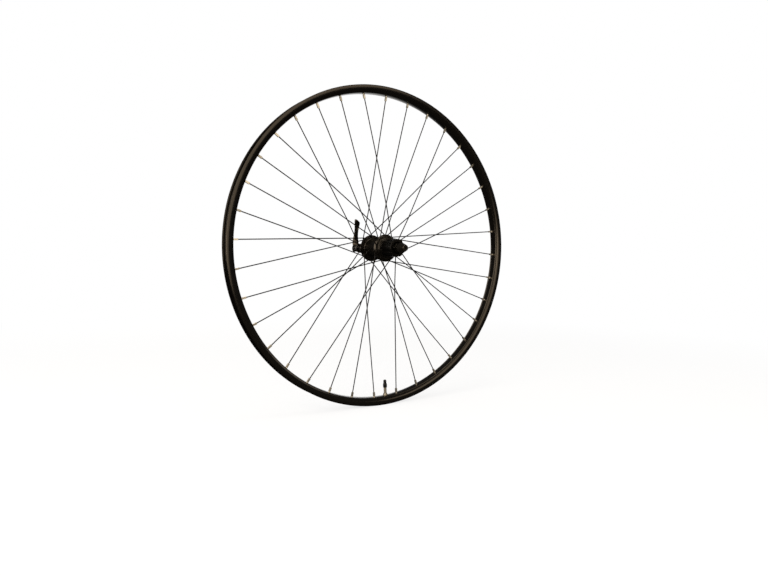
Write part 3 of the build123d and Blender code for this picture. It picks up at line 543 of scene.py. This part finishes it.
# Springs: cones of hard-drawn steel wire on the rod, small end against the axle. The one at the lever end,
# which opens as the cam lets the cup go, is drawn open at one length; the other lies closed under the nut.
def cone_coil(start, length, way):
    """Round wire along a cone: the radius grows with the turn, and the section stands square to the path.

    For the first and last flat part of a turn the wire lies level, and between them its side runs evenly.
    """
    wire, turns, flat, small, large = 0.45 * MM, 3.5, 0.4, 3.25 * MM, 5.85 * MM
    rows, columns = 141, 14
    part = np.linspace(0, 1, rows)
    angle = 2 * np.pi * turns * part
    free = np.clip((part * turns - flat) / (turns - 2 * flat), 0, 1)
    radius = small + (large - small) * part
    side = start + way * (wire + (length - 2 * wire) * free)
    path = np.stack([radius * np.cos(angle), side, radius * np.sin(angle)], -1)
    tangent = np.gradient(path, axis=0)
    tangent /= np.linalg.norm(tangent, axis=1, keepdims=True)
    out = np.stack([np.cos(angle), 0 * angle, np.sin(angle)], -1)
    up = np.cross(tangent, out)
    up /= np.linalg.norm(up, axis=1, keepdims=True)
    out = np.cross(up, tangent)
    thick = np.full(len(path), wire)
    thick[[0, -1]] = 0
    path[0], path[-1] = path[1], path[-2]
    turn = np.linspace(0, 2 * np.pi, columns, endpoint=False)
    section = np.cos(turn)[:, None] * out[:, None] + np.sin(turn)[:, None] * up[:, None]
    return path[:, None] + thick[:, None, None] * section


# Bare spring wire is a plain grey metal with a bright line along each turn; its grain is drawn coarse.
spring_wire = finish(
    "bright_spring_steel", ("#6d6a66", "#85817b", "#a9a59d"), 1.0, (0.24, 0.36),
    grain_mm=0.6, depth_mm=0.004, edge_mm=0.1)
lever_spring_start, lever_spring_length = 73.1 * MM, 9.8 * MM
drive_spring_start, drive_spring_length = -73.1 * MM, 5.3 * MM
lever_spring = surface("spring_coil_lever_side", cone_coil(lever_spring_start, lever_spring_length, 1))
drive_spring = surface("spring_coil_drive_side", cone_coil(drive_spring_start, drive_spring_length, -1))
for piece, node in ((lever_spring, "spring_lever_side"), (drive_spring, "spring_drive_side")):
    piece.data.materials.append(spring_wire)
    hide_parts(node)
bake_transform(lever_spring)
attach(drive_spring, "axle_set")

# Floor: a broad sheet of matt white card under the wheel that runs back to the backdrop. The camera
# sees it white, with the soft shadow near the wheel; metal sees it white only towards the backdrop.
floor_reach, floor_drop = 12.0, 0.0002
card_share, card_mirrored, card_glow, white_from, white_to = 0.25, 0.03, 0.78, 0.75, 1.9
backdrop_way, backdrop_full, backdrop_end = np.array([0.53, 0.85, -0.05]), 14.0, 24.0
backdrop_way /= np.linalg.norm(backdrop_way)
floor_level = cad_box[0][2] - floor_drop
floor_square = np.array([[-1, -1, 0], [1, -1, 0], [1, 1, 0], [-1, 1, 0]])
floor_corners = floor_square * floor_reach + [0, 0, floor_level]
floor_mesh = bpy.data.meshes.new("floor")
floor_mesh.from_pydata(floor_corners.tolist(), [], [[0, 1, 2, 3]])
floor = bpy.data.objects.new("floor", floor_mesh)
bpy.context.scene.collection.objects.link(floor)


def mirror_rays(tree, path):
    """One for a ray that metal or glass sends on and zero for any other: the larger of the two flags."""
    return put(tree, "ShaderNodeMath", {
        0: path["Is Glossy Ray"], 1: path["Is Transmission Ray"]}, operation="MAXIMUM").outputs[0]


def backdrop_part(tree, way, low, high):
    """Smooth step from low to high as a direction turns to within backdrop_full degrees of the backdrop."""
    facing = put(tree, "ShaderNodeVectorMath", {0: way, 1: tuple(backdrop_way)}, operation="DOT_PRODUCT")
    return put(tree, "ShaderNodeMapRange", {
        "Value": facing.outputs["Value"], "From Min": np.cos(np.radians(backdrop_end)),
        "From Max": np.cos(np.radians(backdrop_full)), "To Min": low, "To Max": high},
        interpolation_type="SMOOTHSTEP").outputs[0]


# Card near the wheel is matt and takes the shadow, and away from it the camera sees plain white.
white_card = bpy.data.materials.new("matt_white_card")
white_card.use_nodes = True
tree = white_card.node_tree
tree.nodes.clear()
path = put(tree, "ShaderNodeLightPath").outputs
mirrored = mirror_rays(tree, path)
place = put(tree, "ShaderNodeTexCoord").outputs["Object"]
away = put(tree, "ShaderNodeVectorMath", {0: place}, operation="LENGTH").outputs["Value"]
far = put(tree, "ShaderNodeMapRange", {
    "Value": away, "From Min": white_from, "From Max": white_to}, interpolation_type="SMOOTHSTEP").outputs[0]
way = put(tree, "ShaderNodeVectorMath", {0: place}, operation="NORMALIZE").outputs["Vector"]
behind = backdrop_part(tree, way, 0.0, 1.0)
seen_by = put(tree, "ShaderNodeMath", {
    0: behind, 1: mirrored, 2: path["Is Camera Ray"]}, operation="MULTIPLY_ADD").outputs[0]
far_seen = put(tree, "ShaderNodeMath", {0: far, 1: seen_by}, operation="MULTIPLY").outputs[0]
glow = put(tree, "ShaderNodeMath", {0: path["Is Camera Ray"], 1: card_glow}, operation="MULTIPLY").outputs[0]
share = put(tree, "ShaderNodeMapRange", {
    "Value": mirrored, "To Min": card_share, "To Max": card_mirrored}).outputs[0]
matt = put(tree, "ShaderNodeBsdfDiffuse", {"Color": share})
near_glow = put(tree, "ShaderNodeEmission", {"Strength": glow})
near = put(tree, "ShaderNodeAddShader", {0: matt.outputs[0], 1: near_glow.outputs[0]})
white = put(tree, "ShaderNodeEmission", {"Strength": 1.0})
card = put(tree, "ShaderNodeMixShader", {0: far_seen, 1: near.outputs[0], 2: white.outputs[0]})
put(tree, "ShaderNodeOutputMaterial", {"Surface": card.outputs[0]})
floor_mesh.materials.append(white_card)


# Light: a broad oval soft box in front, tilted, gives the band along the rim's wall, with a small lamp
# beside the camera. A tall box stands to the left and one hangs overhead; two weaker ones, behind and
# to the right, show the shape from those sides.
def stand(thing, right, up, back, place):
    """Sets a lamp or camera by its axes: the columns of its matrix are right, up, back and place."""
    columns = np.stack([right, up, back, place], -1)
    thing.matrix_world = Matrix(np.block([[columns], [np.array([[0, 0, 0, 1.0]])]]).tolist())


def soft_box(name, azimuth, height, distance, shape, width, tall, radiance, colour, tilt=0.0):
    """Area light on a circle about the wheel that faces its hub, with the watts that give its radiance.

    Azimuth is in degrees from -Y towards +X, and lengths are in metres. The watts are pi times radiance
    times area, and an oval's area is pi / 4 of its box. The tilt turns the light from level, in degrees.
    """
    light = bpy.data.lights.new(name, "AREA")
    light.shape, light.size, light.size_y = shape, width, tall
    area = width * tall * (np.pi / 4 if shape == "ELLIPSE" else 1)
    light.energy, light.color = np.pi * radiance * area, linear(colour)[:3]
    turn = np.radians(azimuth)
    place = np.array([distance * np.sin(turn), -distance * np.cos(turn), height])
    back = place / np.linalg.norm(place)
    level = np.cross([0, 0, 1.0], back)
    level /= np.linalg.norm(level)
    side = np.cos(np.radians(tilt)) * level + np.sin(np.radians(tilt)) * np.cross(back, level)
    lamp = bpy.data.objects.new(name, light)
    stand(lamp, side, np.cross(back, side), back, place)
    lamp.visible_camera = False
    bpy.context.scene.collection.objects.link(lamp)


soft_box("front_soft_box", 4.0, 0.60, 1.84, "ELLIPSE", 2.35, 1.65, 1.2, "#fff3e2", tilt=34.0)
soft_box("camera_side_lamp", -18.0, 0.02, 1.9, "ELLIPSE", 0.5, 0.5, 2.2, "#fff3e2")
soft_box("left_soft_box", -62.0, 0.55, 1.8, "RECTANGLE", 2.0, 1.6, 2.6, "#fff6ea")
soft_box("overhead_soft_box", -14.0, 1.9, 0.41, "RECTANGLE", 0.6, 0.8, 3.5, "#fffaf4")
soft_box("back_soft_box", 180.0, 0.35, 2.2, "ELLIPSE", 2.0, 1.3, 1.3, "#fff6ea")
soft_box("right_soft_box", 85.0, 0.95, 2.0, "RECTANGLE", 0.8, 0.8, 0.9, "#fff6ea")

# Room: the camera sees plain white all round. Metal mirrors a lit backdrop behind the wheel in a dark
# room, which gives the black parts their deep sides, and matt surfaces take an even, weaker light.
room_level, dark_level = 0.5, 0.05
world = bpy.data.worlds.new("white_studio")
world.use_nodes = True
bpy.context.scene.world = world
tree = world.node_tree
tree.nodes.clear()
path = put(tree, "ShaderNodeLightPath").outputs
way = put(tree, "ShaderNodeTexCoord").outputs["Generated"]
backdrop = backdrop_part(tree, way, dark_level, 1.0)
room = put(tree, "ShaderNodeMix", {
    "Factor": mirror_rays(tree, path), "A": room_level, "B": backdrop}).outputs["Result"]
level = put(tree, "ShaderNodeMix", {
    "Factor": path["Is Camera Ray"], "A": room, "B": 1.0}).outputs["Result"]
sky = put(tree, "ShaderNodeBackground", {"Color": (1, 1, 1, 1), "Strength": level})
put(tree, "ShaderNodeOutputWorld", {"Surface": sky.outputs[0]})

# Camera: level with the hub's lower side, out from the drive side and a third of a right angle
# round to the rear, with the photograph's lens and roll.
azimuth, elevation, roll = np.radians([-32.13, 3.09, 0.84])
camera_distance, slide_right, slide_up, focal_px, image_width = 1.175, 0.0075, -0.0802, 584.4, 768
back = np.array([
    np.sin(azimuth) * np.cos(elevation), -np.cos(azimuth) * np.cos(elevation), np.sin(elevation)])
right = np.cross(-back, [0, 0, 1.0])
right /= np.linalg.norm(right)
up = np.cross(right, -back)
level_right = np.cos(roll) * right + np.sin(roll) * up
level_up = np.cos(roll) * up - np.sin(roll) * right
place = back * camera_distance + slide_right * level_right + slide_up * level_up
lens = bpy.data.cameras.new("camera")
lens.sensor_width = 36.0
lens.lens = focal_px / image_width * lens.sensor_width
lens.clip_start = 0.01
camera = bpy.data.objects.new("camera", lens)
stand(camera, level_right, level_up, back, place)
bpy.context.scene.collection.objects.link(camera)
bpy.context.scene.camera = camera
bpy.context.scene.view_settings.view_transform = "Standard"
